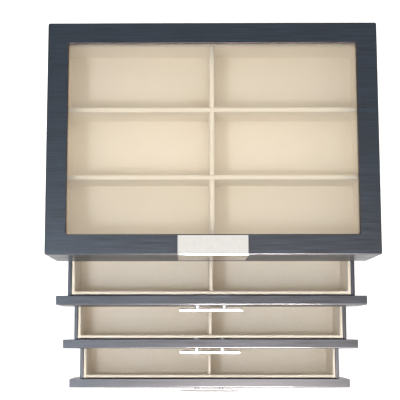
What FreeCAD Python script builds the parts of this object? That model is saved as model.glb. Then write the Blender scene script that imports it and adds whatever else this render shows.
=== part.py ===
import FreeCAD, Part
import os

# Eyeglass display case: a glass-lidded tray of six compartments over three drawers
# of six compartments each. Millimetres, +Z up, +X to the right seen from the front,
# +Y to the rear. The origin is the centre of the footprint, on the ground plane.

V = FreeCAD.Vector

# Overall size
case_width = 362.0
case_depth = 257.0
lid_height = 34.0
tray_height = 49.0
drawer_pitch = 60.0
drawer_count = 3
base_thickness = 9.0
felt_thickness = 2.0
felt_inset = 4.0

# Boards
side_board = 12.5
back_board = 12.5
front_board = 11.0
closing_gap = 0.3
shelf_board = 3.0
shelf_setback = 1.0
tray_floor_board = 4.0
groove_depth = 3.2
groove_play = 0.1
corner_round = 2.0
lid_edge_chamfer = 0.9

# Lid
lid_gap = 0.8
lid_top_board = 6.0
lid_rail_board = 10.5
window_side_rail = 22.6
window_front_rail = 22.1
window_rear_rail = 22.7
window_corner_round = 2.5
glass_thickness = 3.0
glass_overlap = 9.0
bead_height = 6.0
bead_width = 9.5
bumper_width = 8.0
bumper_length = 14.0
bumper_inset = 24.0

# Plate folded over the lid's front edge
plate_width = 76.0
plate_top_leg = 21.0
plate_front_leg = 60.0
plate_thickness = 1.0
plate_bend_radius = 1.6
plate_face_gap = 0.1

# Suede covered lining
compartment_rows = 3
liner_board = 3.8
lining_drop = 30.0
tray_pad = 2.0
tray_divider = 5.6
tray_compartment_depth = 42.0
drawer_pad = 1.0
drawer_divider = 4.4
divider_drop = 6.0
lap_play = 0.1
divider_edge_round = 1.2

# Drawer boxes
front_gap = 2.0
box_side_board = 4.5
box_side_clearance = 0.8
box_bottom_board = 3.0
box_lift = 0.2
box_top_clearance = 1.0
box_rear_clearance = 4.0
liner_screw_clearance = 0.3
front_edge_round = 1.5
drawn_out_step = 51.0
box_held_inside = 29.5
stop_width = 8.0
stop_catch = 3.0
stop_clearance = 0.3

# Pulls
pull_length = 76.0
pull_bar_depth = 4.0
pull_bar_height = 9.0
pull_edge_chamfer = 0.6
pull_standoff = 3.0
pull_post_diameter = 6.5
pull_post_spacing = 32.0
pull_screw_diameter = 4.0
pull_screw_head = 7.6
pull_screw_head_length = 1.3
pull_screw_engagement = 4.0

# Butt hinges
hinge_length = 32.0
hinge_offset = 112.0
hinge_leaf = 1.0
hinge_leaf_width = 9.5
hinge_leaf_gap = 0.1
knuckle_diameter = 4.6
knuckle_standoff = 0.1
knuckle_play = 0.15
knuckle_count = 5
pin_diameter = 2.0
pin_clearance = 0.05

# Levels and planes that follow from the sizes above
half_width = case_width / 2
front_y = -case_depth / 2
back_y = case_depth / 2
base_top = felt_thickness + base_thickness
drawer_zone_top = base_top + drawer_count * drawer_pitch
carcass_top = drawer_zone_top + tray_height
lid_bottom = carcass_top + lid_gap
lid_top = carcass_top + lid_height
glass_top = lid_top - lid_top_board
inner_half_width = half_width - side_board
panel_front_y = front_y + front_board + closing_gap
inner_back_y = back_y - back_board
lining_top = lid_top - lining_drop
tray_floor_top = lining_top - tray_compartment_depth - tray_pad
tray_floor_bottom = tray_floor_top - tray_floor_board
seam_level = carcass_top + lid_gap / 2
hinge_y = back_y + knuckle_diameter / 2 + knuckle_standoff


def box(x0, x1, y0, y1, z0, z1):
    """A block between two corners."""
    return Part.makeBox(x1 - x0, y1 - y0, z1 - z0, V(x0, y0, z0))


def rod(diameter, start, direction, length):
    """A round rod from a start point along a direction."""
    return Part.makeCylinder(diameter / 2, length, start, direction)


def save(name, *solids):
    """Writes one node; separate pieces of one kind share it as separate solids."""
    shape = solids[0] if len(solids) == 1 else Part.makeCompound(list(solids))
    for solid in shape.Solids:
        if not solid.isValid():
            raise RuntimeError("invalid solid in " + name)
    shape.exportStep("parts/" + name + ".step")


def edges_where(shape, test):
    """The straight or curved edges whose end points both pass the test."""
    return [e for e in shape.Edges if all(test(v.Point) for v in e.Vertexes)]


def round_edges(shape, radius, test):
    """Rounds the edges that lie where the test says."""
    return shape.makeFillet(radius, edges_where(shape, test))


def near(value, target):
    return abs(value - target) < 1e-6


def is_vertical(edge):
    a, b = (v.Point for v in edge.Vertexes)
    return near(a.x, b.x) and near(a.y, b.y)


# The carcass


def make_base_board():
    board = box(-half_width, half_width, front_y, back_y, felt_thickness, base_top)
    upright = [e for e in board.Edges if is_vertical(e)]
    return board.makeFillet(corner_round, upright)


def make_base_felt():
    """The sheet under the base board that the case stands on."""
    reach = half_width - felt_inset
    return box(-reach, reach, front_y + felt_inset, back_y - felt_inset, 0, felt_thickness)


def drawer_floor(number):
    """Top of the board that a drawer slides on; drawer 1 is the highest."""
    return base_top + (drawer_count - number) * drawer_pitch


def shelf_levels():
    """Undersides of the shelves: one under each drawer but the lowest."""
    return [drawer_floor(n) - shelf_board for n in range(1, drawer_count)]


def make_side_panel(side):
    """A side board, grooved inside for the shelves and the tray's floor."""
    outer, inner = side * half_width, side * inner_half_width
    x0, x1 = sorted((outer, inner))
    panel = box(x0, x1, panel_front_y, back_y, base_top, carcass_top)
    rear_corner = edges_where(panel, lambda p: near(p.x, outer) and near(p.y, back_y))
    panel = panel.makeFillet(corner_round, rear_corner)
    g0, g1 = sorted((inner, inner + side * groove_depth))
    for level in shelf_levels():
        top = level + shelf_board + groove_play
        panel = panel.cut(box(g0, g1, panel_front_y, inner_back_y, level, top))
    top = tray_floor_top + groove_play
    return panel.cut(box(g0, g1, panel_front_y, inner_back_y, tray_floor_bottom, top))


def make_shelves():
    reach = inner_half_width + groove_depth - groove_play
    front = panel_front_y + shelf_setback
    return [
        box(-reach, reach, front, inner_back_y, level, level + shelf_board)
        for level in shelf_levels()
    ]


def make_tray_floor():
    reach = inner_half_width + groove_depth - groove_play
    return box(-reach, reach, panel_front_y, inner_back_y, tray_floor_bottom, tray_floor_top)


def make_top_front_rail():
    """The fixed board under the lid, as wide as the drawer fronts below it."""
    rail = box(-half_width, half_width, front_y, panel_front_y, drawer_zone_top, carcass_top)
    rail = round_edges(rail, front_edge_round, lambda p: near(p.y, front_y))
    return rail


def make_back_panel():
    """The back board, mortised along its top edge for the hinge leaves."""
    panel = box(-inner_half_width, inner_half_width, inner_back_y, back_y, base_top, carcass_top)
    for x in (-hinge_offset, hinge_offset):
        panel = panel.cut(leaf_mortise(x, False))
    return panel


def make_drawer_stops():
    """Battens over each drawer that catch its back when it is drawn right out."""
    stops = []
    box_back = front_y + front_board + box_held_inside
    stop_back = box_back - box_side_board - liner_board - stop_clearance
    reach = box_inner_half_width - liner_board - stop_width
    for number in range(1, drawer_count + 1):
        over = tray_floor_bottom if number == 1 else drawer_floor(number - 1) - shelf_board
        low = rim_level(number) - stop_catch
        stops.append(box(-reach, reach, stop_back - stop_width, stop_back, low, over))
    return stops


# The lining: suede covered boards round each tray, and dividers lapped into a grid


def make_liner_walls(half_x, y0, y1, z0, z1):
    """Two long walls between two side walls; the outer faces are at half_x, y0 and y1."""
    inner = half_x - liner_board
    walls = [
        box(-half_x, -inner, y0, y1, z0, z1),
        box(inner, half_x, y0, y1, z0, z1),
        box(-inner, inner, y0, y0 + liner_board, z0, z1),
        box(-inner, inner, y1 - liner_board, y1, z0, z1),
    ]
    return walls


def divider_lines(y0, y1, thickness):
    """The middles of the long dividers that share y0 to y1 into equal rows."""
    gaps = compartment_rows - 1
    row = (y1 - y0 - gaps * thickness) / compartment_rows
    return [y0 + (i + 1) * row + (i + 0.5) * thickness for i in range(gaps)]


def round_divider_top(shape, thickness, top):
    """Softens a divider's long top edges, which the suede wraps over."""
    edges = edges_where(shape, lambda p: near(p.z, top))
    return shape.makeFillet(divider_edge_round, [e for e in edges if e.Length > thickness])


def make_long_dividers(half_x, lines, thickness, z0, z1):
    """Dividers along X, slotted from below where the cross divider passes."""
    middle = (z0 + z1) / 2
    slot = thickness / 2 + lap_play
    dividers = []
    for y in lines:
        blank = box(-half_x, half_x, y - thickness / 2, y + thickness / 2, z0, z1)
        blank = round_divider_top(blank, thickness, z1)
        notch = box(-slot, slot, y - thickness, y + thickness, z0, middle + lap_play)
        dividers.append(blank.cut(notch))
    return dividers


def make_cross_divider(y0, y1, lines, thickness, z0, z1):
    """The divider along Y, slotted from above where the long ones pass."""
    middle = (z0 + z1) / 2
    slot = thickness / 2 + lap_play
    blank = box(-thickness / 2, thickness / 2, y0, y1, z0, z1)
    blank = round_divider_top(blank, thickness, z1)
    for y in lines:
        blank = blank.cut(box(-thickness, thickness, y - slot, y + slot, middle, z1))
    return blank


def make_tray_lining():
    y0, y1 = panel_front_y, inner_back_y
    walls = make_liner_walls(inner_half_width, y0, y1, tray_floor_top, lining_top)
    inner_x = inner_half_width - liner_board
    inner_y0, inner_y1 = y0 + liner_board, y1 - liner_board
    floor = tray_floor_top + tray_pad
    pad = box(-inner_x, inner_x, inner_y0, inner_y1, tray_floor_top, floor)
    lines = divider_lines(inner_y0, inner_y1, tray_divider)
    save("tray_liner_walls", *walls)
    save("tray_floor_pad", pad)
    save("tray_long_dividers", *make_long_dividers(inner_x, lines, tray_divider, floor, lining_top))
    save("tray_cross_divider", make_cross_divider(inner_y0, inner_y1, lines, tray_divider, floor, lining_top))


# The lid


def make_lid_top_frame():
    """One routed panel with rounded window corners and an eased top edge."""
    panel = box(-half_width, half_width, front_y, back_y, glass_top, lid_top)
    panel = panel.makeFillet(corner_round, [e for e in panel.Edges if is_vertical(e)])
    panel = panel.makeChamfer(lid_edge_chamfer, edges_where(panel, lambda p: near(p.z, lid_top)))
    window_half = half_width - window_side_rail
    window = box(
        -window_half, window_half, front_y + window_front_rail, back_y - window_rear_rail,
        glass_top, lid_top,
    )
    window = window.makeFillet(window_corner_round, [e for e in window.Edges if is_vertical(e)])
    return panel.cut(window)


def mitred_frame(outer_x, outer_y0, outer_y1, width, z0, z1):
    """Four boards round a rectangle, mitred at the corners: front, rear, left, right."""
    inner_x, inner_y0, inner_y1 = outer_x - width, outer_y0 + width, outer_y1 - width
    corners = {
        "front": [(-outer_x, outer_y0), (outer_x, outer_y0), (inner_x, inner_y0), (-inner_x, inner_y0)],
        "rear": [(-outer_x, outer_y1), (outer_x, outer_y1), (inner_x, inner_y1), (-inner_x, inner_y1)],
        "left": [(-outer_x, outer_y0), (-outer_x, outer_y1), (-inner_x, inner_y1), (-inner_x, inner_y0)],
        "right": [(outer_x, outer_y0), (outer_x, outer_y1), (inner_x, inner_y1), (inner_x, inner_y0)],
    }
    boards = {}
    for name, points in corners.items():
        ring = [V(x, y, z0) for x, y in points + points[:1]]
        boards[name] = Part.Face(Part.makePolygon(ring)).extrude(V(0, 0, z1 - z0))
    return boards


def make_lid_rails():
    """The lid's four walls, mitred; the rear one is mortised for the hinges."""
    rails = mitred_frame(half_width, front_y, back_y, lid_rail_board, lid_bottom, glass_top)
    corner_block = box(-half_width, half_width, front_y, back_y, lid_bottom, glass_top)
    upright = [e for e in corner_block.Edges if is_vertical(e)]
    rounded = corner_block.makeFillet(corner_round, upright)
    rails = {name: rail.common(rounded) for name, rail in rails.items()}
    for x in (-hinge_offset, hinge_offset):
        rails["rear"] = rails["rear"].cut(leaf_mortise(x, True))
    return rails


def glass_box(z0, z1):
    half_x = half_width - window_side_rail + glass_overlap
    y0 = front_y + window_front_rail - glass_overlap
    y1 = back_y - window_rear_rail + glass_overlap
    return box(-half_x, half_x, y0, y1, z0, z1)


def make_glazing_beads():
    """Four mitred strips that hold the pane up against the top frame."""
    top = glass_top - glass_thickness
    beads = mitred_frame(
        half_width - lid_rail_board, front_y + lid_rail_board, back_y - lid_rail_board,
        bead_width, top - bead_height, top,
    )
    return list(beads.values())


def make_lid_bumpers():
    """Two felt pads under the lid's front wall, as thick as the gap that they keep."""
    reach = half_width - bumper_inset
    y0 = front_y + (lid_rail_board - bumper_width) / 2
    y1 = y0 + bumper_width
    return [
        box(x - bumper_length / 2, x + bumper_length / 2, y0, y1, carcass_top, lid_bottom)
        for x in (-reach, reach)
    ]


def make_name_plate():
    """A bare steel plate bent over the lid's front edge: a short leg on top, a long one in front."""
    inner_y = front_y - plate_face_gap
    outer_y = inner_y - plate_thickness
    top_z = lid_top + plate_thickness
    foot_z = lid_top - plate_front_leg
    rear_y = front_y + plate_top_leg
    ring = [
        V(0, outer_y, foot_z),
        V(0, inner_y, foot_z),
        V(0, inner_y, lid_top),
        V(0, rear_y, lid_top),
        V(0, rear_y, top_z),
        V(0, outer_y, top_z),
        V(0, outer_y, foot_z),
    ]
    face = Part.Face(Part.makePolygon(ring))
    plate = face.extrude(V(plate_width, 0, 0))
    plate.translate(V(-plate_width / 2, 0, 0))
    bend = edges_where(plate, lambda p: near(p.y, outer_y) and near(p.z, top_z))
    return plate.makeFillet(plate_bend_radius, bend)


# The hinges: leaves let into the wood, knuckles outside it, a pin through the knuckles


def leaf_box(x, upper):
    """A leaf lies just off the seam, inside the board, and ends at the knuckle's middle."""
    side = 1 if upper else -1
    near_face = seam_level + side * hinge_leaf_gap / 2
    z0, z1 = sorted((near_face, near_face + side * hinge_leaf))
    half = hinge_length / 2
    return box(x - half, x + half, back_y - hinge_leaf_width, hinge_y, z0, z1)


def leaf_mortise(x, upper):
    leaf = leaf_box(x, upper).BoundBox
    return box(leaf.XMin, leaf.XMax, leaf.YMin, back_y, leaf.ZMin, leaf.ZMax)


def knuckle_spans(x, upper):
    """Where along the pin a leaf's knuckles lie: the lower leaf has the odd ones."""
    pitch = hinge_length / knuckle_count
    start = x - hinge_length / 2
    taken = range(1 if upper else 0, knuckle_count, 2)
    return [(start + i * pitch + knuckle_play / 2, start + (i + 1) * pitch - knuckle_play / 2) for i in taken]


def make_hinge_leaf(x, upper):
    leaf = leaf_box(x, upper)
    z0, z1 = leaf.BoundBox.ZMin, leaf.BoundBox.ZMax
    for low, high in knuckle_spans(x, not upper):
        leaf = leaf.cut(box(low - knuckle_play, high + knuckle_play, back_y, hinge_y, z0, z1))
    for low, high in knuckle_spans(x, upper):
        leaf = leaf.fuse(rod(knuckle_diameter, V(low, hinge_y, seam_level), V(1, 0, 0), high - low))
    bore_start = V(x - hinge_length, hinge_y, seam_level)
    leaf = leaf.cut(rod(pin_diameter + 2 * pin_clearance, bore_start, V(1, 0, 0), 2 * hinge_length))
    return leaf.removeSplitter()


def make_hinge_pin(x):
    """A pin through all the knuckles, flush with the end ones."""
    return rod(pin_diameter, V(x - hinge_length / 2, hinge_y, seam_level), V(1, 0, 0), hinge_length)


# The drawers. Each is modelled shut, then drawn out a step more than the one above


box_outer_half_width = inner_half_width - box_side_clearance
box_inner_half_width = box_outer_half_width - box_side_board
box_length = case_depth - back_board - box_rear_clearance - front_board
full_extension = box_length - box_held_inside


def rim_level(number):
    """Top of a drawer's box."""
    over = drawer_floor(number) + drawer_pitch
    return over - shelf_board - box_top_clearance


def pull_posts_x():
    return (-pull_post_spacing / 2, pull_post_spacing / 2)


def pull_screw(x, z):
    """A flat headed screw, driven through a drawer front from behind into a pull's post."""
    seat = V(x, front_y + front_board, z)
    head = rod(pull_screw_head, seat, V(0, 1, 0), pull_screw_head_length)
    shank = rod(pull_screw_diameter, seat, V(0, -1, 0), front_board + pull_screw_engagement)
    return head.fuse(shank)


def make_pull(z):
    """A flat bar on two round posts, one bright casting."""
    bar_back = front_y - pull_standoff
    half = pull_length / 2
    low, high = z - pull_bar_height / 2, z + pull_bar_height / 2
    bar = box(-half, half, bar_back - pull_bar_depth, bar_back, low, high)
    pull = bar.makeChamfer(pull_edge_chamfer, bar.Edges)
    for x in pull_posts_x():
        post = rod(pull_post_diameter, V(x, front_y, z), V(0, -1, 0), pull_standoff + pull_bar_depth / 2)
        pull = pull.fuse(post)
    for x in pull_posts_x():
        pull = pull.cut(pull_screw(x, z))
    return pull.removeSplitter()


def make_drawer_front(number, pull_z):
    low = drawer_floor(number) + front_gap / 2
    high = drawer_floor(number) + drawer_pitch - front_gap / 2
    front = box(-half_width, half_width, front_y, front_y + front_board, low, high)
    front = round_edges(front, front_edge_round, lambda p: near(p.y, front_y))
    for x in pull_posts_x():
        front = front.cut(pull_screw(x, pull_z))
    return front


def make_drawer(number):
    """All the pieces of one drawer by node name, shut."""
    floor = drawer_floor(number) + box_lift
    bottom_top = floor + box_bottom_board
    rim = rim_level(number)
    y0 = front_y + front_board
    y1 = y0 + box_length
    outer, inner = box_outer_half_width, box_inner_half_width
    pull_z = drawer_floor(number) + drawer_pitch / 2
    pad_top = bottom_top + drawer_pad
    lining_y0 = y0 + pull_screw_head_length + liner_screw_clearance
    lining_y1 = y1 - box_side_board
    inner_x = inner - liner_board
    inner_y0, inner_y1 = lining_y0 + liner_board, lining_y1 - liner_board
    top = rim - divider_drop
    lines = divider_lines(inner_y0, inner_y1, drawer_divider)
    return {
        "front": [make_drawer_front(number, pull_z)],
        "left_side": [box(-outer, -inner, y0, y1, bottom_top, rim)],
        "right_side": [box(inner, outer, y0, y1, bottom_top, rim)],
        "back": [box(-inner, inner, y1 - box_side_board, y1, bottom_top, rim)],
        "bottom": [box(-outer, outer, y0, y1, floor, bottom_top)],
        "liner_walls": make_liner_walls(inner, lining_y0, lining_y1, bottom_top, rim),
        "floor_pad": [box(-inner_x, inner_x, inner_y0, inner_y1, bottom_top, pad_top)],
        "long_dividers": make_long_dividers(inner_x, lines, drawer_divider, pad_top, top),
        "cross_divider": [make_cross_divider(inner_y0, inner_y1, lines, drawer_divider, pad_top, top)],
        "pull": [make_pull(pull_z)],
        "pull_screws": [pull_screw(x, pull_z) for x in pull_posts_x()],
    }


def save_carcass():
    save("base_felt", make_base_felt())
    save("base_board", make_base_board())
    save("left_side_panel", make_side_panel(-1))
    save("right_side_panel", make_side_panel(1))
    save("back_panel", make_back_panel())
    save("top_front_rail", make_top_front_rail())
    save("shelves", *make_shelves())
    save("tray_floor", make_tray_floor())
    save("drawer_stops", *make_drawer_stops())
    make_tray_lining()


def save_lid():
    rails = make_lid_rails()
    save("lid_top_frame", make_lid_top_frame())
    save("lid_front_rail", rails["front"])
    save("lid_rear_rail", rails["rear"])
    save("lid_side_rails", rails["left"], rails["right"])
    save("glass_pane", glass_box(glass_top - glass_thickness, glass_top))
    save("glazing_beads", *make_glazing_beads())
    save("lid_bumpers", *make_lid_bumpers())
    save("name_plate", make_name_plate())


def save_hinges():
    places = (-hinge_offset, hinge_offset)
    save("hinge_pins", *[make_hinge_pin(x) for x in places])
    save("hinge_lower_leaves", *[make_hinge_leaf(x, False) for x in places])
    save("hinge_upper_leaves", *[make_hinge_leaf(x, True) for x in places])


def save_drawers():
    for number in range(1, drawer_count + 1):
        drawn_out = V(0, -number * drawn_out_step, 0)
        for piece, solids in make_drawer(number).items():
            for solid in solids:
                solid.translate(drawn_out)
            save("drawer_" + str(number) + "_" + piece, *solids)


os.makedirs("parts", exist_ok=True)
save_carcass()
save_lid()
save_hinges()
save_drawers()
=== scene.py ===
import math

import bmesh
import bpy
from mathutils import Euler, Matrix, Vector


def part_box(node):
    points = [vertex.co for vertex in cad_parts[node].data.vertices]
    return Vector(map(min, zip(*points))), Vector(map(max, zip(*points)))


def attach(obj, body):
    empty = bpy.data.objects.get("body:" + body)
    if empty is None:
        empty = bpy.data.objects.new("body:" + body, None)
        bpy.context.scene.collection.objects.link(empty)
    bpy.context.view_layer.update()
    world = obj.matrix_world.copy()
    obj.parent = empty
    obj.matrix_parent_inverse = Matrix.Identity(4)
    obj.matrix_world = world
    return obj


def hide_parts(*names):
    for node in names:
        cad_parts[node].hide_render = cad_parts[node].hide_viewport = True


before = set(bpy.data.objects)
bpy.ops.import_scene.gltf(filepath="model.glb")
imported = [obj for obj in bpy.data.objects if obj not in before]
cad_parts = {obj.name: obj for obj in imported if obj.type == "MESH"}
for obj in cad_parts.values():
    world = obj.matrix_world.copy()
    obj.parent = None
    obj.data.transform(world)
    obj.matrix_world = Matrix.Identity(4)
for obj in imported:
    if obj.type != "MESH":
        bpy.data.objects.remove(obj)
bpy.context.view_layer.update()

# Camera
# It hangs over the drawn out drawers, a little left of the middle, looks down and
# slightly to the rear, and its shift sets the case high in the square frame.
MM = 0.001
camera_place = Vector((-23.43, -213.96, 1184.48)) * MM
camera_lean = math.radians(6.340)
camera_tilt = math.radians(0.411)
camera_roll = math.radians(-0.058)
sensor_width = 36
lens_length = 76.88
shift_right = 0.0375
shift_up = 0.10
view_depth = 50

camera_data = bpy.data.cameras.new("camera")
camera_data.sensor_width = sensor_width
camera_data.lens = lens_length
camera_data.shift_x = shift_right
camera_data.shift_y = shift_up
camera_data.clip_end = view_depth
camera = bpy.data.objects.new("camera", camera_data)
camera_turn = Euler((camera_lean, camera_tilt, camera_roll), "ZYX").to_matrix().to_4x4()
camera.matrix_world = Matrix.Translation(camera_place) @ camera_turn
bpy.context.scene.collection.objects.link(camera)
bpy.context.scene.camera = camera
bpy.context.scene.view_settings.view_transform = "Standard"


# Floor and light
# A white sweep under a dome that darkens to its foot. A small lamp draws the shadows, a
# wide one fills them, two are seen only as sheen, and a grey card hangs in front.
floor_place = Vector((0, 0, 0))
floor_size = (8.0, 8.0)
floor_glow = 0.5
dome_tint = "#fff9f2"
horizon_strength = 0.17
dome_strength = 1.15
zenith_strength = 0.68
zenith_narrowness = 6.0
backdrop_strength = 1.15
tray_aim = Vector((0, -20, 200)) * MM
case_aim = Vector((0, -50, 150)) * MM
drawers_aim = Vector((0, -200, 150)) * MM
key_place = Vector((-310, -290, 970)) * MM
key_size = (120 * MM, 80 * MM)
key_power = 2.15
key_tint = "#ecf3ff"
fill_place = Vector((0, -700, 1400)) * MM
fill_size = (1200 * MM, 500 * MM)
fill_power = 2.8
fill_tint = "#ffffff"
sheen_size = (250 * MM, 200 * MM)
front_sheen_place = Vector((95, -585, 760)) * MM
front_sheen_power = 95.0
front_sheen_tint = "#fff4f4"
left_sheen_place = Vector((-447, -312, 906)) * MM
left_sheen_power = 14.0
left_sheen_tint = "#e8f2ff"
grey_card_place = Vector((25, -710, 1300)) * MM
grey_card_size = (220 * MM, 780 * MM)


def linear(hex_colour):
    """An sRGB hex colour as linear red, green, blue and alpha."""
    channels = [int(hex_colour[i:i + 2], 16) / 255 for i in (1, 3, 5)]
    bent = [c / 12.92 if c <= 0.04045 else ((c + 0.055) / 1.055) ** 2.4 for c in channels]
    return (*bent, 1.0)


def add_node(tree, kind, settings=None, inputs=None):
    """Adds a node. An input is a value, or another node's output to be linked. Sockets that
    share a name go by number: a Mix has its factor at 0, its numbers at 2 and 3 and its
    colours at 6 and 7, and gives a number at output 0 or a colour at output 2."""
    node = tree.nodes.new("ShaderNode" + kind)
    for name, value in (settings or {}).items():
        setattr(node, name, value)
    for name, value in (inputs or {}).items():
        if isinstance(value, bpy.types.NodeSocket):
            tree.links.new(value, node.inputs[name])
        else:
            node.inputs[name].default_value = value
    return node


def start_material(name, **sockets):
    """A material with its shader's plain sockets set; returns it, its tree and its shader."""
    material = bpy.data.materials.new(name)
    material.use_nodes = True
    shader = material.node_tree.nodes["Principled BSDF"]
    for socket, value in sockets.items():
        shader.inputs[socket.replace("_", " ")].default_value = value
    return material, material.node_tree, shader


def seamless_paper():
    """Matt white paper, a little brighter than its light, so that it photographs pure white."""
    material, tree, shader = start_material("seamless_paper", Roughness=0.9)
    place = add_node(tree, "TexCoord").outputs["Object"]
    fibre_width = 1.111 * MM
    fibres = add_node(tree, "TexNoise", inputs={"Vector": place, "Scale": 1 / fibre_width})
    tone = add_node(tree, "Mix", {"data_type": "RGBA"}, {
        0: fibres.outputs["Fac"], 6: linear("#f1f1f1"), 7: linear("#f6f6f6")})
    tree.links.new(tone.outputs[2], shader.inputs["Base Color"])
    shader.inputs["Emission Color"].default_value = linear("#ffffff")
    shader.inputs["Emission Strength"].default_value = floor_glow
    return material


def stage_sheet(name, place, size, material):
    """A flat sheet of the stage, which isn't part of the object."""
    bm = bmesh.new()
    matrix = Matrix.Translation(place) @ Matrix.Diagonal((*size, 1, 1))
    bmesh.ops.create_grid(bm, x_segments=1, y_segments=1, size=0.5, matrix=matrix)
    mesh = bpy.data.meshes.new(name)
    bm.to_mesh(mesh)
    bm.free()
    mesh.materials.append(material)
    sheet = bpy.data.objects.new(name, mesh)
    bpy.context.scene.collection.objects.link(sheet)
    return sheet


floor = stage_sheet("floor", floor_place, floor_size, seamless_paper())

dome = bpy.data.worlds.new("dome")
dome.use_nodes = True
sky = dome.node_tree
sky_light = sky.nodes["Background"]
sky_light.inputs["Color"].default_value = linear(dome_tint)
direction = add_node(sky, "TexCoord")
height = add_node(sky, "SeparateXYZ", inputs={0: direction.outputs["Generated"]})
above = add_node(sky, "Math", {"operation": "MAXIMUM"}, {0: height.outputs["Z"], 1: 0.0})
broad_light = add_node(sky, "Math", {"operation": "MULTIPLY_ADD"}, {
    0: above.outputs[0], 1: dome_strength, 2: horizon_strength})
narrowed = add_node(sky, "Math", {"operation": "POWER"}, {0: above.outputs[0], 1: zenith_narrowness})
both_lights = add_node(sky, "Math", {"operation": "MULTIPLY_ADD"}, {
    0: narrowed.outputs[0], 1: zenith_strength, 2: broad_light.outputs[0]})
first_ray = add_node(sky, "LightPath").outputs["Is Camera Ray"]
strength = add_node(sky, "Mix", inputs={0: first_ray, 2: both_lights.outputs[0], 3: backdrop_strength})
sky.links.new(strength.outputs[0], sky_light.inputs["Strength"])
bpy.context.scene.world = dome


def soft_box(name, place, aim, size, power, tint, lights="all"):
    """A rectangular lamp turned to its aim, which no camera sees. It lights all, or only
    the matt part of each surface, or only shows as sheen."""
    data = bpy.data.lights.new(name, "AREA")
    data.shape = "RECTANGLE"
    data.size, data.size_y = size
    data.energy = power
    data.color = linear(tint)[:3]
    box = bpy.data.objects.new(name, data)
    turn = (aim - place).to_track_quat("-Z", "Y").to_matrix().to_4x4()
    box.matrix_world = Matrix.Translation(place) @ turn
    box.visible_camera = False
    box.visible_diffuse = lights != "sheen"
    box.visible_glossy = lights != "matt"
    bpy.context.scene.collection.objects.link(box)
    return box


# The lamps seen only as sheen must not light the linings by way of the lid's front.
bpy.context.scene.cycles.caustics_reflective = False

soft_box("key", key_place, tray_aim, key_size, key_power, key_tint, "matt")
lamps_over_front = [
    soft_box("fill", fill_place, case_aim, fill_size, fill_power, fill_tint),
    soft_box(
        "front_sheen", front_sheen_place, drawers_aim, sheen_size, front_sheen_power,
        front_sheen_tint, "sheen"),
    soft_box(
        "left_sheen", left_sheen_place, case_aim, sheen_size, left_sheen_power,
        left_sheen_tint, "sheen"),
]


def grey_stage_cloth():
    """Grey wool cloth on a frame: matt and cloudy, it gives back little of the floor's light."""
    material, tree, shader = start_material("grey_stage_cloth", Roughness=1.0, Specular_IOR_Level=0.0)
    place = add_node(tree, "TexCoord").outputs["Object"]
    cloud_width = 16.67 * MM
    clouds = add_node(tree, "TexNoise", inputs={"Vector": place, "Scale": 1 / cloud_width})
    tone = add_node(tree, "Mix", {"data_type": "RGBA"}, {
        0: clouds.outputs["Fac"], 6: linear("#383838"), 7: linear("#444444")})
    tree.links.new(tone.outputs[2], shader.inputs["Base Color"])
    return material


# The card is only seen in glossy surfaces, and casts no shadow.
card = stage_sheet("grey_card", grey_card_place, grey_card_size, grey_stage_cloth())
card.visible_camera = False
card.visible_diffuse = False
card.visible_shadow = False


# Base felt
# A sheet of short grey felt glued under the base board, so that the case doesn't
# scratch the table. Its cut edge is soft.
felt_edge = 0.5 * MM
merge_distance = 0.002 * MM
flat_angle = math.radians(1)
smooth_angle = math.radians(35)


def pressed_felt():
    """Wool felt: short fibres in all directions, no shine, and a pale fuzz at grazing angles."""
    material, tree, shader = start_material(
        "grey_felt", Roughness=1.0, Specular_IOR_Level=0.1, Sheen_Weight=0.35, Sheen_Roughness=0.6)
    place = add_node(tree, "TexCoord").outputs["Object"]
    fibre_width = 0.35 * MM
    fibres = add_node(tree, "TexNoise", inputs={"Vector": place, "Scale": 1 / fibre_width, "Detail": 4.0})
    clump_width = 3 * MM
    clumps = add_node(tree, "TexNoise", inputs={"Vector": place, "Scale": 1 / clump_width, "Detail": 2.0})
    both = add_node(tree, "Math", {"operation": "MULTIPLY"}, {
        0: fibres.outputs["Fac"], 1: clumps.outputs["Fac"]})
    spread = add_node(tree, "MapRange", inputs={
        "Value": both.outputs[0], "From Min": 0.12, "From Max": 0.4})
    colour = add_node(tree, "Mix", {"data_type": "RGBA"}, {
        0: spread.outputs[0], 6: linear("#26282b"), 7: linear("#4c4f54")})
    tree.links.new(colour.outputs[2], shader.inputs["Base Color"])
    bump = add_node(tree, "Bump", inputs={
        "Strength": 0.6, "Distance": 0.3 * MM, "Height": fibres.outputs["Fac"]})
    tree.links.new(bump.outputs[0], shader.inputs["Normal"])
    return material


def round_edges(bm, edges, radius, segments):
    """Rounds edges, or eases them where the radius is small."""
    bmesh.ops.bevel(
        bm, geom=edges, offset=radius, offset_type="OFFSET", affect="EDGES", segments=segments,
        profile=0.5, material=-1, clamp_overlap=True)


def eased_copy(node, ease, segments=2, least_angle=30):
    """A CAD node's shape as one skin, with its sharp edges eased as sanding leaves them."""
    bm = bmesh.new()
    bm.from_mesh(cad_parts[node].data)
    bmesh.ops.remove_doubles(bm, verts=bm.verts, dist=merge_distance)
    bmesh.ops.dissolve_limit(bm, angle_limit=flat_angle, verts=bm.verts, edges=bm.edges)
    sharp = [
        e for e in bm.edges
        if len(e.link_faces) == 2 and e.calc_face_angle() > math.radians(least_angle)
    ]
    round_edges(bm, sharp, ease, segments)
    return bm


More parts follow.
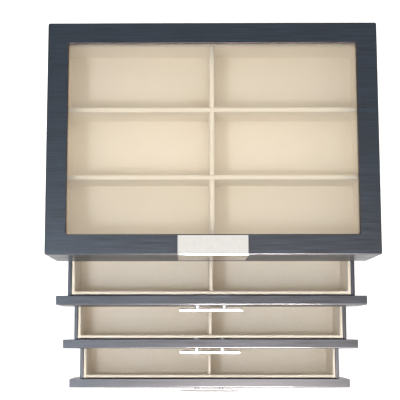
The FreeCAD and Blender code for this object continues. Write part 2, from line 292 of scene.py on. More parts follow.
def make_piece(bm, name, *materials):
    """Turns a bmesh into an object that is shaded smooth, but for its sharp edges and flats."""
    mesh = bpy.data.meshes.new(name)
    bm.to_mesh(mesh)
    bm.free()
    for material in materials:
        mesh.materials.append(material)
    for face in mesh.polygons:
        face.material_index = min(face.material_index, len(materials) - 1)
    mesh.shade_smooth()
    mesh.set_sharp_from_angle(angle=smooth_angle)
    piece = bpy.data.objects.new(name, mesh)
    bpy.context.scene.collection.objects.link(piece)
    flats = piece.modifiers.new("flats", "WEIGHTED_NORMAL")
    flats.keep_sharp = True
    return piece


grey_felt = pressed_felt()
base_felt = make_piece(eased_copy("base_felt", felt_edge), "base_felt_sheet", grey_felt)
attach(base_felt, "carcass")
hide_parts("base_felt")


# Base board
# A plain board of fibreboard under a wood veneer, stained charcoal and sprayed with
# a satin lacquer. It is as large as the case, and its edges are eased by sanding.
board_ease = 0.5 * MM


def satin_lacquered_wood(name, grain_along):
    """Charcoal stained veneer under satin lacquer: fine lighter streaks along the grain,
    a few open pores, a blue grey sheen that spreads wide, and a thin clear film on top
    that turns to a mirror where it is seen almost edge on."""
    material, tree, shader = start_material(
        name, Specular_IOR_Level=0.18, Coat_Weight=0.15, Coat_Roughness=0.07)
    place = add_node(tree, "TexCoord").outputs["Object"]
    streak_length, streak_width = 46 * MM, 1.1 * MM
    pore_length, pore_width = 9 * MM, 0.35 * MM
    figure_length, figure_width = 190 * MM, 16 * MM

    def along_grain(length, width):
        """A noise pattern drawn out along the grain."""
        scale = [1 / width] * 3
        scale["XYZ".index(grain_along)] = 1 / length
        stretched = add_node(tree, "Mapping", inputs={"Vector": place, "Scale": scale})
        return add_node(tree, "TexNoise", inputs={
            "Vector": stretched.outputs[0], "Scale": 1.0, "Detail": 3.0, "Roughness": 0.55})

    streaks = along_grain(streak_length, streak_width)
    pores = along_grain(pore_length, pore_width)
    figure = along_grain(figure_length, figure_width)
    light = add_node(tree, "MapRange", inputs={
        "Value": streaks.outputs["Fac"], "From Min": 0.32, "From Max": 0.72})
    stained = add_node(tree, "Mix", {"data_type": "RGBA"}, {
        0: light.outputs[0], 6: linear("#040d18"), 7: linear("#0e2a3d")})
    broad = add_node(tree, "MapRange", inputs={
        "Value": figure.outputs["Fac"], "From Min": 0.35, "From Max": 0.65, "To Max": 0.35})
    figured = add_node(tree, "Mix", {"data_type": "RGBA"}, {
        0: broad.outputs[0], 6: stained.outputs[2], 7: linear("#0b1d2c")})
    open_pores = add_node(tree, "MapRange", inputs={
        "Value": pores.outputs["Fac"], "From Min": 0.36, "From Max": 0.24, "To Max": 0.7})
    pored = add_node(tree, "Mix", {"data_type": "RGBA"}, {
        0: open_pores.outputs[0], 6: figured.outputs[2], 7: linear("#05090d")})
    tree.links.new(pored.outputs[2], shader.inputs["Base Color"])
    rough = add_node(tree, "MapRange", inputs={
        "Value": streaks.outputs["Fac"], "From Min": 0.3, "From Max": 0.7,
        "To Min": 0.34, "To Max": 0.48})
    tree.links.new(rough.outputs[0], shader.inputs["Roughness"])
    relief = add_node(tree, "Math", {"operation": "SUBTRACT"}, {
        0: streaks.outputs["Fac"], 1: open_pores.outputs[0]})
    bump = add_node(tree, "Bump", inputs={
        "Strength": 0.35, "Distance": 0.12 * MM, "Height": relief.outputs[0]})
    tree.links.new(bump.outputs[0], shader.inputs["Normal"])
    return material


wood_along_x = satin_lacquered_wood("satin_lacquered_wood_across", "X")
wood_along_y = satin_lacquered_wood("satin_lacquered_wood_deep", "Y")
base_board = make_piece(eased_copy("base_board", board_ease), "base_board_wood", wood_along_x)
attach(base_board, "carcass")
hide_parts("base_board")


# Side panels
# One board each side, grooved inside for the shelves and the tray's floor, glued
# onto the base. The grain runs from front to back.
for side in ("left", "right"):
    panel_node = side + "_side_panel"
    panel = make_piece(eased_copy(panel_node, board_ease), side + "_side_wood", wood_along_y)
    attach(panel, "carcass")
    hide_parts(panel_node)


# Back panel
# The board between the side panels, mortised on top for the lower hinge leaves.
# Its grain runs across.
back_panel = make_piece(eased_copy("back_panel", board_ease), "back_panel_wood", wood_along_x)
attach(back_panel, "carcass")
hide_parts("back_panel")


# Shelves, tray floor and drawer stops
# Thin hardboard let into the side panels' grooves, and battens glued under it that
# catch the back of a drawer. They are only seen with the drawers drawn out.
thin_ease = 0.3 * MM


def pressed_hardboard():
    """Hardboard: brown wood fibre pressed smooth, speckled, with a dull shine."""
    material, tree, shader = start_material("pressed_hardboard", Roughness=0.62)
    place = add_node(tree, "TexCoord").outputs["Object"]
    speck_width = 0.7 * MM
    specks = add_node(tree, "TexNoise", inputs={"Vector": place, "Scale": 1 / speck_width, "Detail": 5.0})
    cloud_width = 22 * MM
    clouds = add_node(tree, "TexNoise", inputs={"Vector": place, "Scale": 1 / cloud_width})
    cloud_share = 0.5
    mixed = add_node(tree, "Math", {"operation": "MULTIPLY_ADD"}, {
        0: clouds.outputs["Fac"], 1: cloud_share, 2: specks.outputs["Fac"]})
    shade = add_node(tree, "MapRange", inputs={
        "Value": mixed.outputs[0], "From Min": 0.5, "From Max": 1.0})
    colour = add_node(tree, "Mix", {"data_type": "RGBA"}, {
        0: shade.outputs[0], 6: linear("#3f2c20"), 7: linear("#6d5039")})
    tree.links.new(colour.outputs[2], shader.inputs["Base Color"])
    bump = add_node(tree, "Bump", inputs={
        "Strength": 0.2, "Distance": 0.1 * MM, "Height": specks.outputs["Fac"]})
    tree.links.new(bump.outputs[0], shader.inputs["Normal"])
    return material


hardboard = pressed_hardboard()
for node, name in (("shelves", "shelf_boards"), ("tray_floor", "tray_floor_board")):
    shelf = make_piece(eased_copy(node, thin_ease), name, hardboard)
    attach(shelf, "carcass")
    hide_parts(node)
stops = make_piece(eased_copy("drawer_stops", thin_ease), "drawer_stop_battens", wood_along_x)
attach(stops, "carcass")
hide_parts("drawer_stops")


# Top front rail
# The fixed board under the lid. It has the drawer fronts' width and rounded front
# edges, and its ends are glued against the front of the side panels.
front_rail = make_piece(
    eased_copy("top_front_rail", board_ease, least_angle=60), "top_front_wood", wood_along_x)
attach(front_rail, "carcass")
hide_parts("top_front_rail")


# Tray lining
# Four thin boards wrapped in cream suede, glued inside the case. They stand a little
# above its sides, so that the lid's walls settle round them.
wall_thickness = 3.8 * MM
wall_round = 1.5 * MM
height_play = 0.01 * MM


def brushed_suede():
    """Cream microfibre suede: a dense short nap with soft cloudy brush marks, no gloss, and
    a light rim where the nap is seen from the side. Its warmth deepens in the shadows."""
    material, tree, shader = start_material(
        "cream_suede", Roughness=0.95, Specular_IOR_Level=0.0, Sheen_Weight=0.15, Sheen_Roughness=0.45)
    place = add_node(tree, "TexCoord").outputs["Object"]
    nap_width, brush_width, cloud_width = 0.45 * MM, 5 * MM, 34 * MM
    nap = add_node(tree, "TexNoise", inputs={"Vector": place, "Scale": 1 / nap_width, "Detail": 3.0})
    brushed = add_node(tree, "TexNoise", inputs={
        "Vector": place, "Scale": 1 / brush_width, "Detail": 4.0, "Roughness": 0.6, "Distortion": 0.6})
    clouds = add_node(tree, "TexNoise", inputs={"Vector": place, "Scale": 1 / cloud_width, "Detail": 1.0})
    nap_share, cloud_share = 0.45, 0.6
    fine = add_node(tree, "Math", {"operation": "MULTIPLY_ADD"}, {
        0: nap.outputs["Fac"], 1: nap_share, 2: brushed.outputs["Fac"]})
    both = add_node(tree, "Math", {"operation": "MULTIPLY_ADD"}, {
        0: clouds.outputs["Fac"], 1: cloud_share, 2: fine.outputs[0]})
    shade = add_node(tree, "MapRange", inputs={
        "Value": both.outputs[0], "From Min": 0.4, "From Max": 1.65})
    colour = add_node(tree, "Mix", {"data_type": "RGBA"}, {
        0: shade.outputs[0], 6: linear("#e8dccb"), 7: linear("#efe8da")})
    tree.links.new(colour.outputs[2], shader.inputs["Base Color"])
    bump = add_node(tree, "Bump", inputs={
        "Strength": 0.35, "Distance": 0.2 * MM, "Height": nap.outputs["Fac"]})
    tree.links.new(bump.outputs[0], shader.inputs["Normal"])
    return material


def add_block(bm, low, high):
    """Adds a block between two corners and returns its edges."""
    size = high - low
    place = Matrix.Translation((low + high) / 2) @ Matrix.Diagonal((*size, 1))
    made = bmesh.ops.create_cube(bm, size=1, matrix=place)
    return {edge for vert in made["verts"] for edge in vert.link_edges}


def lies_at(edge, height):
    """Whether an edge lies level at a height."""
    return all(abs(vert.co.z - height) < height_play for vert in edge.verts)


def round_long_tops(bm, edges, top, radius, least_length):
    """Rounds the long level edges at a height, over which the suede is wrapped."""
    tops = [e for e in edges if lies_at(e, top) and e.calc_length() > least_length]
    round_edges(bm, tops, radius, segments=4)


def wrapped_walls(node):
    """Four wrapped boards round a tray: two run its whole depth, two stand between them."""
    low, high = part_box(node)
    inner_x = high.x - wall_thickness
    blocks = [
        (Vector((low.x, low.y, low.z)), Vector((-inner_x, high.y, high.z))),
        (Vector((inner_x, low.y, low.z)), Vector((high.x, high.y, high.z))),
        (Vector((-inner_x, low.y, low.z)), Vector((inner_x, low.y + wall_thickness, high.z))),
        (Vector((-inner_x, high.y - wall_thickness, low.z)), Vector((inner_x, high.y, high.z))),
    ]
    bm = bmesh.new()
    edges = set()
    for near_corner, far_corner in blocks:
        edges |= add_block(bm, near_corner, far_corner)
    round_long_tops(bm, edges, high.z, wall_round, 2 * wall_thickness)
    return bm


suede = brushed_suede()
tray_walls = make_piece(wrapped_walls("tray_liner_walls"), "tray_wall_suede", suede)
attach(tray_walls, "carcass")
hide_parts("tray_liner_walls")


# Tray floor pad
# Card under thin wadding and suede, laid on the tray's floor before the dividers.
# It swells a little in the middle of each compartment.
pad_crown = 0.6 * MM
pad_cell = 3.5 * MM
pad_steepness = 0.4


def crowned_pad(node, dividers_node, cross_node, crown):
    """A pad with a low crown in each compartment between the dividers."""
    low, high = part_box(node)
    line_low, line_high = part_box(dividers_node)
    cross_low, cross_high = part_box(cross_node)
    thickness = cross_high.x - cross_low.x
    columns = [(low.x, cross_low.x), (cross_high.x, high.x)]
    middle_row = (line_low.y + thickness, line_high.y - thickness)
    rows = [(low.y, line_low.y), middle_row, (line_high.y, high.y)]

    def swell(value, spans):
        """From 0 at a compartment's wall to 1 over its middle."""
        for start, stop in spans:
            if start < value < stop:
                share = (value - start) / (stop - start)
                return math.sin(math.pi * share) ** pad_steepness
        return 0.0

    bm = bmesh.new()
    size = high - low
    cells_x, cells_y = round(size.x / pad_cell), round(size.y / pad_cell)
    middle = Vector(((low.x + high.x) / 2, (low.y + high.y) / 2, high.z))
    place = Matrix.Translation(middle) @ Matrix.Diagonal((size.x, size.y, 1, 1))
    top = bmesh.ops.create_grid(
        bm, x_segments=cells_x, y_segments=cells_y, size=0.5, matrix=place)["verts"]
    rim = [e for e in bm.edges if e.is_boundary]
    skirt = bmesh.ops.extrude_edge_only(bm, edges=rim)["geom"]
    foot = [g for g in skirt if isinstance(g, bmesh.types.BMVert)]
    for vert in foot:
        vert.co.z = low.z
    bmesh.ops.holes_fill(bm, edges=[e for e in bm.edges if e.is_boundary])
    for vert in top:
        vert.co.z += crown * swell(vert.co.x, columns) * swell(vert.co.y, rows)
    bmesh.ops.recalc_face_normals(bm, faces=bm.faces)
    return bm


tray_pad = make_piece(
    crowned_pad("tray_floor_pad", "tray_long_dividers", "tray_cross_divider", pad_crown),
    "tray_pad_suede", suede)
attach(tray_pad, "carcass")
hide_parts("tray_floor_pad")


# Tray dividers
# Card wrapped in the same suede. Two long ones are slotted from below and the cross
# one from above, so that they lap into a grid, and their top edges are rounded.
divider_round = 1.7 * MM
lap_play = 0.1 * MM


def lapped_divider(bm, low, high, along, slots, from_above):
    """Adds a divider between two corners: its outline with the lap slots, given its
    thickness, with rounded tops. along is 0 for X or 1 for Y, and slots are places there."""
    across = 1 - along
    thickness = high[across] - low[across]
    half_slot = thickness / 2 + lap_play
    lap = (low.z + high.z) / 2
    side = 1 if from_above else -1
    edge = high.z if from_above else low.z
    notches = []
    for place in sorted(slots, reverse=from_above):
        first, last = place + side * half_slot, place - side * half_slot
        notches += [(first, edge), (first, lap), (last, lap), (last, edge)]
    start, stop = low[along], high[along]
    if from_above:
        outline = [(start, low.z), (stop, low.z), (stop, high.z), *notches, (start, high.z)]
    else:
        outline = [(start, low.z), *notches, (stop, low.z), (stop, high.z), (start, high.z)]
    verts = []
    for distance, height in outline:
        corner = Vector((low.x, low.y, height))
        corner[along] = distance
        verts.append(bm.verts.new(corner))
    face = bm.faces.new(verts)
    made = bmesh.ops.extrude_face_region(bm, geom=[face])["geom"]
    moved = [g for g in made if isinstance(g, bmesh.types.BMVert)]
    push = Vector((0, 0, 0))
    push[across] = thickness
    bmesh.ops.translate(bm, verts=moved, vec=push)
    edges = {e for v in verts + moved for e in v.link_edges}
    round_long_tops(bm, edges, high.z, divider_round, 1.5 * thickness)


def long_dividers(node, cross_node):
    """Both dividers that run across a tray, each slotted from below for the cross one."""
    low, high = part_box(node)
    cross_low, cross_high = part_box(cross_node)
    thickness = cross_high.x - cross_low.x
    lines = [(cross_low.x + cross_high.x) / 2]
    bm = bmesh.new()
    for front in (low.y, high.y - thickness):
        near_corner = Vector((low.x, front, low.z))
        far_corner = Vector((high.x, front + thickness, high.z))
        lapped_divider(bm, near_corner, far_corner, along=0, slots=lines, from_above=False)
    bmesh.ops.recalc_face_normals(bm, faces=bm.faces)
    return bm


def cross_divider(node, long_node):
    """The divider that runs from a tray's front to its back, slotted from above."""
    low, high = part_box(node)
    long_low, long_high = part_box(long_node)
    thickness = high.x - low.x
    lines = [long_low.y + thickness / 2, long_high.y - thickness / 2]
    bm = bmesh.new()
    lapped_divider(bm, low, high, along=1, slots=lines, from_above=True)
    bmesh.ops.recalc_face_normals(bm, faces=bm.faces)
    return bm


tray_long = make_piece(
    long_dividers("tray_long_dividers", "tray_cross_divider"), "tray_long_divider_suede", suede)
tray_cross = make_piece(
    cross_divider("tray_cross_divider", "tray_long_dividers"), "tray_cross_divider_suede", suede)
for divider, node in ((tray_long, "tray_long_dividers"), (tray_cross, "tray_cross_divider")):
    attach(divider, "carcass")
    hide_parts(node)


# Lid top
# One veneered panel with the window routed through it. Its outer edge is rounded
# over, and the window's cut edge shows the brown stained board under the lacquer.
lid_outer_round = 2.0 * MM
lid_window_round = 2.5 * MM
lid_over = 1.0 * MM
window_over = 0.5 * MM
window_side_rail = 22.6 * MM
window_front_rail = 22.1 * MM
window_rear_rail = 22.7 * MM
rim_angle = math.radians(60)
# A face counts as level where its normal rises at least this much.
level_normal = 0.97


def stained_cut_edge():
    """The routed edge: fibreboard stained dark brown, duller and rougher than the face."""
    material, tree, shader = start_material("stained_cut_edge", Specular_IOR_Level=0.12)
    place = add_node(tree, "TexCoord").outputs["Object"]
    layer_width = 0.5 * MM
    fibres = add_node(tree, "TexNoise", inputs={"Vector": place, "Scale": 1 / layer_width, "Detail": 4.0})
    colour = add_node(tree, "Mix", {"data_type": "RGBA"}, {
        0: fibres.outputs["Fac"], 6: linear("#120c0b"), 7: linear("#2a1f1b")})
    tree.links.new(colour.outputs[2], shader.inputs["Base Color"])
    rough = add_node(tree, "MapRange", inputs={
        "Value": fibres.outputs["Fac"], "To Min": 0.5, "To Max": 0.75})
    tree.links.new(rough.outputs[0], shader.inputs["Roughness"])
    bump = add_node(tree, "Bump", inputs={
        "Strength": 0.3, "Distance": 0.1 * MM, "Height": fibres.outputs["Fac"]})
    tree.links.new(bump.outputs[0], shader.inputs["Normal"])
    return material


def routed_panel():
    """The panel: outline and window as two loops, raised, corners rounded, edges eased."""
    low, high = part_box("lid_top_frame")
    window_low = Vector((low.x + window_side_rail, low.y + window_front_rail))
    window_high = Vector((high.x - window_side_rail, high.y - window_rear_rail))
    bm = bmesh.new()
    loops = []
    for near, far in ((low, high), (window_low, window_high)):
        corners = [(near.x, near.y), (far.x, near.y), (far.x, far.y), (near.x, far.y)]
        verts = [bm.verts.new((x, y, low.z)) for x, y in corners]
        loops += [bm.edges.new((verts[i - 1], verts[i])) for i in range(4)]
    bmesh.ops.bridge_loops(bm, edges=loops)
    made = bmesh.ops.extrude_face_region(bm, geom=bm.faces[:])["geom"]
    raised = [g for g in made if isinstance(g, bmesh.types.BMVert)]
    bmesh.ops.translate(bm, verts=raised, vec=Vector((0, 0, high.z - low.z)))
    bmesh.ops.recalc_face_normals(bm, faces=bm.faces)

    def by_window(point):
        """Whether a point is nearer to the window's edge than to the panel's."""
        in_x = abs(point.x) < high.x - window_side_rail / 2
        return in_x and low.y + window_front_rail / 2 < point.y < high.y - window_rear_rail / 2

    def edge_by_window(edge):
        """Whether both ends of an edge are nearer to the window's edge."""
        return all(by_window(vert.co) for vert in edge.verts)

    def upright(edge):
        """Whether an edge stands at a corner of the panel or the window."""
        return abs(edge.verts[0].co.z - edge.verts[1].co.z) > MM

    for radius, windowed in ((lid_outer_round, False), (lid_window_round, True)):
        corners = [e for e in bm.edges if upright(e) and edge_by_window(e) == windowed]
        round_edges(bm, corners, radius, segments=6)
    for radius, windowed, segments in ((lid_over, False, 5), (window_over, True, 3)):
        rims = [
            e for e in bm.edges
            if lies_at(e, high.z) and edge_by_window(e) == windowed and e.calc_face_angle() > rim_angle
        ]
        round_edges(bm, rims, radius, segments)
    for face in bm.faces:
        if by_window(face.calc_center_median()) and abs(face.normal.z) < level_normal:
            face.material_index = 1
    return bm


lid_top = make_piece(routed_panel(), "lid_top_wood", wood_along_x, stained_cut_edge())
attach(lid_top, "lid")
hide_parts("lid_top_frame")


# Lid walls
# Four boards under the top panel, mitred at the corners and lacquered with it. The
# rear one is mortised for the upper hinge leaves.
lid_wall_ease = 0.4 * MM
for node, name, wood in (
    ("lid_front_rail", "lid_front_wood", wood_along_x),
    ("lid_rear_rail", "lid_rear_wood", wood_along_x),
    ("lid_side_rails", "lid_side_wood", wood_along_y),
):
    wall = make_piece(eased_copy(node, lid_wall_ease), name, wood)
    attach(wall, "lid")
    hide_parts(node)


# Glass pane
# A sheet of clear float glass under the window, held up by beads. Its edges are
# ground, and it hardly shows but for a faint reflection.
glass_ease = 0.4 * MM


def clear_glass():
    """Clear glass: mirror smooth, with a faint warm cast. Light on its way to or from the matt
    lining goes straight through and loses what both faces reflect, so none counts twice."""
    material, tree, shader = start_material(
        "clear_glass", Roughness=0.0, IOR=1.5, Transmission_Weight=1.0)
    shader.inputs["Base Color"].default_value = linear("#fcf8f3")
    place = add_node(tree, "TexCoord").outputs["Object"]
    sag_width = 120 * MM
    sag = add_node(tree, "TexNoise", inputs={"Vector": place, "Scale": 1 / sag_width})
    bump = add_node(tree, "Bump", inputs={
        "Strength": 0.02, "Distance": 0.1 * MM, "Height": sag.outputs["Fac"]})
    tree.links.new(bump.outputs[0], shader.inputs["Normal"])
    ray = add_node(tree, "LightPath")
    soft_ray = add_node(tree, "Math", {"operation": "MAXIMUM"}, {
        0: ray.outputs["Is Shadow Ray"], 1: ray.outputs["Is Diffuse Ray"]})
    clear = add_node(tree, "BsdfTransparent", inputs={"Color": linear("#edeeec")})
    through = add_node(tree, "MixShader", inputs={
        0: soft_ray.outputs[0], 1: shader.outputs[0], 2: clear.outputs[0]})
    tree.links.new(through.outputs[0], tree.nodes["Material Output"].inputs["Surface"])
    return material


pane = make_piece(eased_copy("glass_pane", glass_ease, segments=1), "lid_pane_glass", clear_glass())
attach(pane, "lid")
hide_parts("glass_pane")


# Glazing beads
# Four mitred strips pinned to the lid's walls under the glass, stained like the
# insides of the case.
beads = make_piece(eased_copy("glazing_beads", thin_ease), "glazing_bead_wood", wood_along_x)
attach(beads, "lid")
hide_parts("glazing_beads")


# Lid bumpers
# Two small felt blocks glued under the lid's front wall, which keep it from
# knocking on the rail below.
bumpers = make_piece(eased_copy("lid_bumpers", thin_ease), "lid_bumper_felt", grey_felt)
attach(bumpers, "lid")
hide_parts("lid_bumpers")


# Plate
# A bare strip of stainless steel, bent over the lid's front edge with a short leg
# on top and a long one in front, and polished until it mirrors the drawer below.
plate_ease = 0.18 * MM


def mirror_steel():
    """Stainless steel polished to a mirror: nearly white, with the slight waves and the
    faint haze that buffing leaves."""
    material, tree, shader = start_material("mirror_steel", Metallic=1.0)
    place = add_node(tree, "TexCoord").outputs["Object"]
    smear_width, wave_width = 6 * MM, 28 * MM
    smears = add_node(tree, "TexNoise", inputs={"Vector": place, "Scale": 1 / smear_width, "Detail": 3.0})
    tint = add_node(tree, "Mix", {"data_type": "RGBA"}, {
        0: smears.outputs["Fac"], 6: linear("#a9abad"), 7: linear("#b3b4b4")})
    tree.links.new(tint.outputs[2], shader.inputs["Base Color"])
    rough = add_node(tree, "MapRange", inputs={
        "Value": smears.outputs["Fac"], "To Min": 0.01, "To Max": 0.04})
    tree.links.new(rough.outputs[0], shader.inputs["Roughness"])
    waves = add_node(tree, "TexNoise", inputs={"Vector": place, "Scale": 1 / wave_width})
    bump = add_node(tree, "Bump", inputs={
        "Strength": 0.08, "Distance": 0.4 * MM, "Height": waves.outputs["Fac"]})
    tree.links.new(bump.outputs[0], shader.inputs["Normal"])
    return material


plate = make_piece(eased_copy("name_plate", plate_ease), "lid_plate_steel", mirror_steel())
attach(plate, "lid")
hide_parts("name_plate")


# Hinges
# Two butt hinges of nickel plated steel at the back, with five knuckles and a pin. One
# leaf is let into the lid and one into the back panel, each countersunk for three screws.
hinge_ease = 0.12 * MM
leaf_thickness = 1.0 * MM
leaf_gap = 0.1 * MM
hinge_half = 16 * MM
screw_line = 4.7 * MM
screw_pitch = 11 * MM
head_radius = 2.2 * MM
shank_radius = 1.3 * MM
hole_play = 0.05 * MM
hole_over = 0.02 * MM


def nickel_plate():
    """Nickel plated steel: grey, softly bright, with fine rolling marks along the leaf."""
    material, tree, shader = start_material("nickel_plate", Metallic=1.0)
    place = add_node(tree, "TexCoord").outputs["Object"]
    mark_length, mark_width = 14 * MM, 0.25 * MM
    drawn = add_node(tree, "Mapping", inputs={
        "Vector": place, "Scale": (1 / mark_length, 1 / mark_width, 1 / mark_width)})
    marks = add_node(tree, "TexNoise", inputs={"Vector": drawn.outputs[0], "Scale": 1.0, "Detail": 3.0})
    tint = add_node(tree, "Mix", {"data_type": "RGBA"}, {
        0: marks.outputs["Fac"], 6: linear("#a9a59d"), 7: linear("#c9c6bf")})
    tree.links.new(tint.outputs[2], shader.inputs["Base Color"])
    rough = add_node(tree, "MapRange", inputs={
        "Value": marks.outputs["Fac"], "To Min": 0.18, "To Max": 0.34})
    tree.links.new(rough.outputs[0], shader.inputs["Roughness"])
    return material


def screw_frames(facing):
    """Where the screws sit: in the lower leaves, whose face looks up, where facing is 1, and
    in the upper ones, whose face looks down, where it is -1."""
    low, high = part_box("hinge_lower_leaves")
    pin_low, pin_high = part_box("hinge_pins")
    face_height = (pin_low.z + pin_high.z) / 2 - facing * leaf_gap / 2
    turn = Matrix.Rotation(0 if facing == 1 else math.pi, 4, "X")
    frames = []
    for side in (-1, 1):
        for step in (-1, 0, 1):
            along = side * (high.x - hinge_half) + step * screw_pitch
            frames.append(Matrix.Translation((along, low.y + screw_line, face_height)) @ turn)
    return frames


def countersunk_holes(facing):
    """The cones that a drill and a countersink take out of the leaves."""
    bm = bmesh.new()
    middle = Matrix.Translation((0, 0, -leaf_thickness / 2))
    for screw_frame in screw_frames(facing):
        bmesh.ops.create_cone(
            bm, cap_ends=True, segments=24, radius1=shank_radius + hole_play,
            radius2=head_radius + hole_play, depth=leaf_thickness + 2 * hole_over,
            matrix=screw_frame @ middle)
    return bm


def cut_out(whole, removed):
    """One closed shape less another, as a new bmesh."""
    parts = []
    for bm in (whole, removed):
        mesh = bpy.data.meshes.new("cut_part")
        bm.to_mesh(mesh)
        bm.free()
        part = bpy.data.objects.new("cut_part", mesh)
        bpy.context.scene.collection.objects.link(part)
        parts.append(part)
    cut = parts[0].modifiers.new("cut", "BOOLEAN")
    cut.operation = "DIFFERENCE"
    cut.solver = "EXACT"
    cut.object = parts[1]
    depsgraph = bpy.context.evaluated_depsgraph_get()
    result = bmesh.new()
    result.from_mesh(bpy.data.meshes.new_from_object(parts[0].evaluated_get(depsgraph)))
    for part in parts:
        bpy.data.objects.remove(part)
    return result


nickel = nickel_plate()
for node, name, body, facing in (
    ("hinge_lower_leaves", "hinge_lower_leaf_nickel", "carcass", 1),
    ("hinge_upper_leaves", "hinge_upper_leaf_nickel", "lid", -1),
    ("hinge_pins", "hinge_pin_nickel", "carcass", 0),
):
    shape = eased_copy(node, hinge_ease, segments=1, least_angle=50)
    if facing:
        shape = cut_out(shape, countersunk_holes(facing))
    hinge_part = make_piece(shape, name, nickel)
    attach(hinge_part, body)
    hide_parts(node)


# Hinge screws
# Three small countersunk screws of nickel plated steel hold each leaf. Their heads lie
# just below its face and have a cross recess.
head_sink = 0.02 * MM
recess_half = 1.2 * MM
recess_depth = 0.7 * MM
recess_taper = 0.6


def countersunk_head(bm, screw_frame):
    """Adds a head: a grid in a ring, the grid's cross pressed in, and the cone below."""
    others = set(bm.verts)
    grid = bmesh.ops.create_grid(bm, x_segments=3, y_segments=3, size=recess_half)["verts"]
    grid_faces = {f for v in grid for f in v.link_faces}
    grid_rim = {e for f in grid_faces for e in f.edges if e.is_boundary}
    ring = bmesh.ops.create_circle(bm, segments=12, radius=head_radius)["verts"]
    ring_edges = {e for v in ring for e in v.link_edges}
    bmesh.ops.bridge_loops(bm, edges=list(grid_rim | ring_edges))
    cross = [f for f in grid_faces if min(abs(c) for c in f.calc_center_median().xy) < recess_half / 3]
    pressed = bmesh.ops.extrude_face_region(bm, geom=cross)["geom"]
    recess_floor = [g for g in pressed if isinstance(g, bmesh.types.BMVert)]
    bmesh.ops.scale(bm, verts=recess_floor, vec=Vector((recess_taper, recess_taper, 1)))
    bmesh.ops.translate(bm, verts=recess_floor, vec=Vector((0, 0, -recess_depth)))
    cone = bmesh.ops.extrude_edge_only(bm, edges=list(ring_edges))["geom"]
    cone_foot = [g for g in cone if isinstance(g, bmesh.types.BMVert)]
    narrowing = shank_radius / head_radius
    bmesh.ops.scale(bm, verts=cone_foot, vec=Vector((narrowing, narrowing, 1)))
    bmesh.ops.translate(bm, verts=cone_foot, vec=Vector((0, 0, -leaf_thickness + head_sink)))
    bmesh.ops.holes_fill(bm, edges=[e for e in bm.edges if e.is_boundary])
    sunk = screw_frame @ Matrix.Translation((0, 0, -head_sink))
    bmesh.ops.transform(bm, matrix=sunk, verts=[v for v in bm.verts if v not in others])


for name, body, facing in (
    ("hinge_lower_screw_nickel", "carcass", 1),
    ("hinge_upper_screw_nickel", "lid", -1),
):
    bm = bmesh.new()
    for screw_frame in screw_frames(facing):
        countersunk_head(bm, screw_frame)
    bmesh.ops.recalc_face_normals(bm, faces=bm.faces)
    heads = make_piece(bm, name, nickel)
    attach(heads, body)


# Drawer fronts
# A solid board for each drawer, wider than the box behind it, with a satin lacquered
# face. The box is glued to its back.
front_ease = 0.35 * MM
drawers = ("drawer_1", "drawer_2", "drawer_3")
for drawer in drawers:
    front_node = drawer + "_front"
    front = make_piece(
        eased_copy(front_node, front_ease, least_angle=60), front_node + "_wood", wood_along_x)
    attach(front, drawer)
    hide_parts(front_node)


# Drawer boxes
# Two thin stained sides with a back between them, glued onto a hardboard bottom. Their
# edges are well rounded by sanding, and the sides butt against the drawer's front.
box_round = 1.1 * MM
box_boards = (("left_side", wood_along_y), ("right_side", wood_along_y), ("back", wood_along_x))
for drawer in drawers:
    for part, wood in box_boards:
        board_node = drawer + "_" + part
        board = make_piece(eased_copy(board_node, box_round, segments=4), board_node + "_wood", wood)
        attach(board, drawer)
        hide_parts(board_node)
    bottom = make_piece(eased_copy(drawer + "_bottom", thin_ease), drawer + "_bottom_board", hardboard)
    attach(bottom, drawer)
    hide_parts(drawer + "_bottom")


# Drawer linings
# The same suede over card as in the tray: four walls, a floor pad and a lapped grid of
# dividers in each drawer.
drawer_pad_crown = 0.5 * MM
for drawer in drawers:
    walls_node, pad_node = drawer + "_liner_walls", drawer + "_floor_pad"
    long_node, cross_node = drawer + "_long_dividers", drawer + "_cross_divider"
    walls = make_piece(wrapped_walls(walls_node), drawer + "_wall_suede", suede)
    pad = make_piece(
        crowned_pad(pad_node, long_node, cross_node, drawer_pad_crown), drawer + "_pad_suede", suede)
    long_pair = make_piece(long_dividers(long_node, cross_node), drawer + "_long_divider_suede", suede)
    cross = make_piece(cross_divider(cross_node, long_node), drawer + "_cross_divider_suede", suede)
    linings = ((walls, walls_node), (pad, pad_node), (long_pair, long_node), (cross, cross_node))
    for lining, node in linings:
        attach(lining, drawer)
        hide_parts(node)


# Drawer pulls
# A small bar pull in the middle of each front, cast in zinc and polished, then chromium
# plated: a flat bar with well rounded edges on two short round posts.
pull_bar_thickness = 4 * MM
pull_bar_round = 1.5 * MM
pull_post_radius = 3.25 * MM
pull_post_spacing = 32 * MM
pull_post_in_bar = 0.5 * MM


def chrome_plate():
    """Chromium plate on a polished casting: a cold bright mirror with a trace of haze."""
    material, tree, shader = start_material("chrome_plate", Metallic=1.0)
    place = add_node(tree, "TexCoord").outputs["Object"]
    haze_width = 4 * MM
    haze = add_node(tree, "TexNoise", inputs={"Vector": place, "Scale": 1 / haze_width, "Detail": 3.0})
    tint = add_node(tree, "Mix", {"data_type": "RGBA"}, {
        0: haze.outputs["Fac"], 6: linear("#dfe1e4"), 7: linear("#eeeff1")})
    tree.links.new(tint.outputs[2], shader.inputs["Base Color"])
    rough = add_node(tree, "MapRange", inputs={
        "Value": haze.outputs["Fac"], "To Min": 0.05, "To Max": 0.12})
    tree.links.new(rough.outputs[0], shader.inputs["Roughness"])
    return material


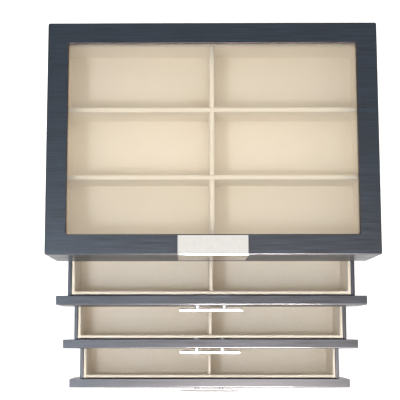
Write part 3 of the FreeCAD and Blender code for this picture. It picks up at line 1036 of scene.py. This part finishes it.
def bar_pull(node):
    """The bar across the front of the pull's space, and its posts back to the board."""
    low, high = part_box(node)
    bar_back = low.y + pull_bar_thickness
    bm = bmesh.new()
    edges = add_block(bm, low, Vector((high.x, bar_back, high.z)))
    round_edges(bm, list(edges), pull_bar_round, segments=6)
    post_start = bar_back - pull_post_in_bar
    post_middle = (post_start + high.y) / 2
    for side in (-1, 1):
        centre = Vector((side * pull_post_spacing / 2, post_middle, (low.z + high.z) / 2))
        place = Matrix.Translation(centre) @ Matrix.Rotation(math.radians(90), 4, "X")
        bmesh.ops.create_cone(
            bm, cap_ends=True, segments=32, radius1=pull_post_radius, radius2=pull_post_radius,
            depth=high.y - post_start, matrix=place)
    return bm


chrome = chrome_plate()
for drawer in drawers:
    pull = make_piece(bar_pull(drawer + "_pull"), drawer + "_pull_chrome", chrome)
    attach(pull, drawer)
    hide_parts(drawer + "_pull")

# These lamps leave out the lowest pull, so that it mirrors the grey card and not them.
flagged = bpy.data.collections.new("flagged_from_front_lamps")
flagged.objects.link(pull)
flagged.collection_objects[0].light_linking.link_state = "EXCLUDE"
for lamp in lamps_over_front:
    lamp.light_linking.receiver_collection = flagged


# Pull screws
# Two flat headed screws of bright zinc plated steel hold each pull from inside its
# drawer, hidden by the lining.
screw_ease = 0.2 * MM


def zinc_plate():
    """Zinc plated steel: bluish grey with a cloudy, slightly milky shine."""
    material, tree, shader = start_material("zinc_plate", Metallic=1.0)
    place = add_node(tree, "TexCoord").outputs["Object"]
    spangle_width = 1.5 * MM
    spangle = add_node(tree, "TexNoise", inputs={
        "Vector": place, "Scale": 1 / spangle_width, "Detail": 2.0})
    tint = add_node(tree, "Mix", {"data_type": "RGBA"}, {
        0: spangle.outputs["Fac"], 6: linear("#9ea3a9"), 7: linear("#c2c6ca")})
    tree.links.new(tint.outputs[2], shader.inputs["Base Color"])
    rough = add_node(tree, "MapRange", inputs={
        "Value": spangle.outputs["Fac"], "To Min": 0.25, "To Max": 0.42})
    tree.links.new(rough.outputs[0], shader.inputs["Roughness"])
    return material


zinc = zinc_plate()
for drawer in drawers:
    screws_node = drawer + "_pull_screws"
    screws = make_piece(
        eased_copy(screws_node, screw_ease, segments=1, least_angle=50), drawer + "_screw_zinc", zinc)
    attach(screws, drawer)
    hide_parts(screws_node)
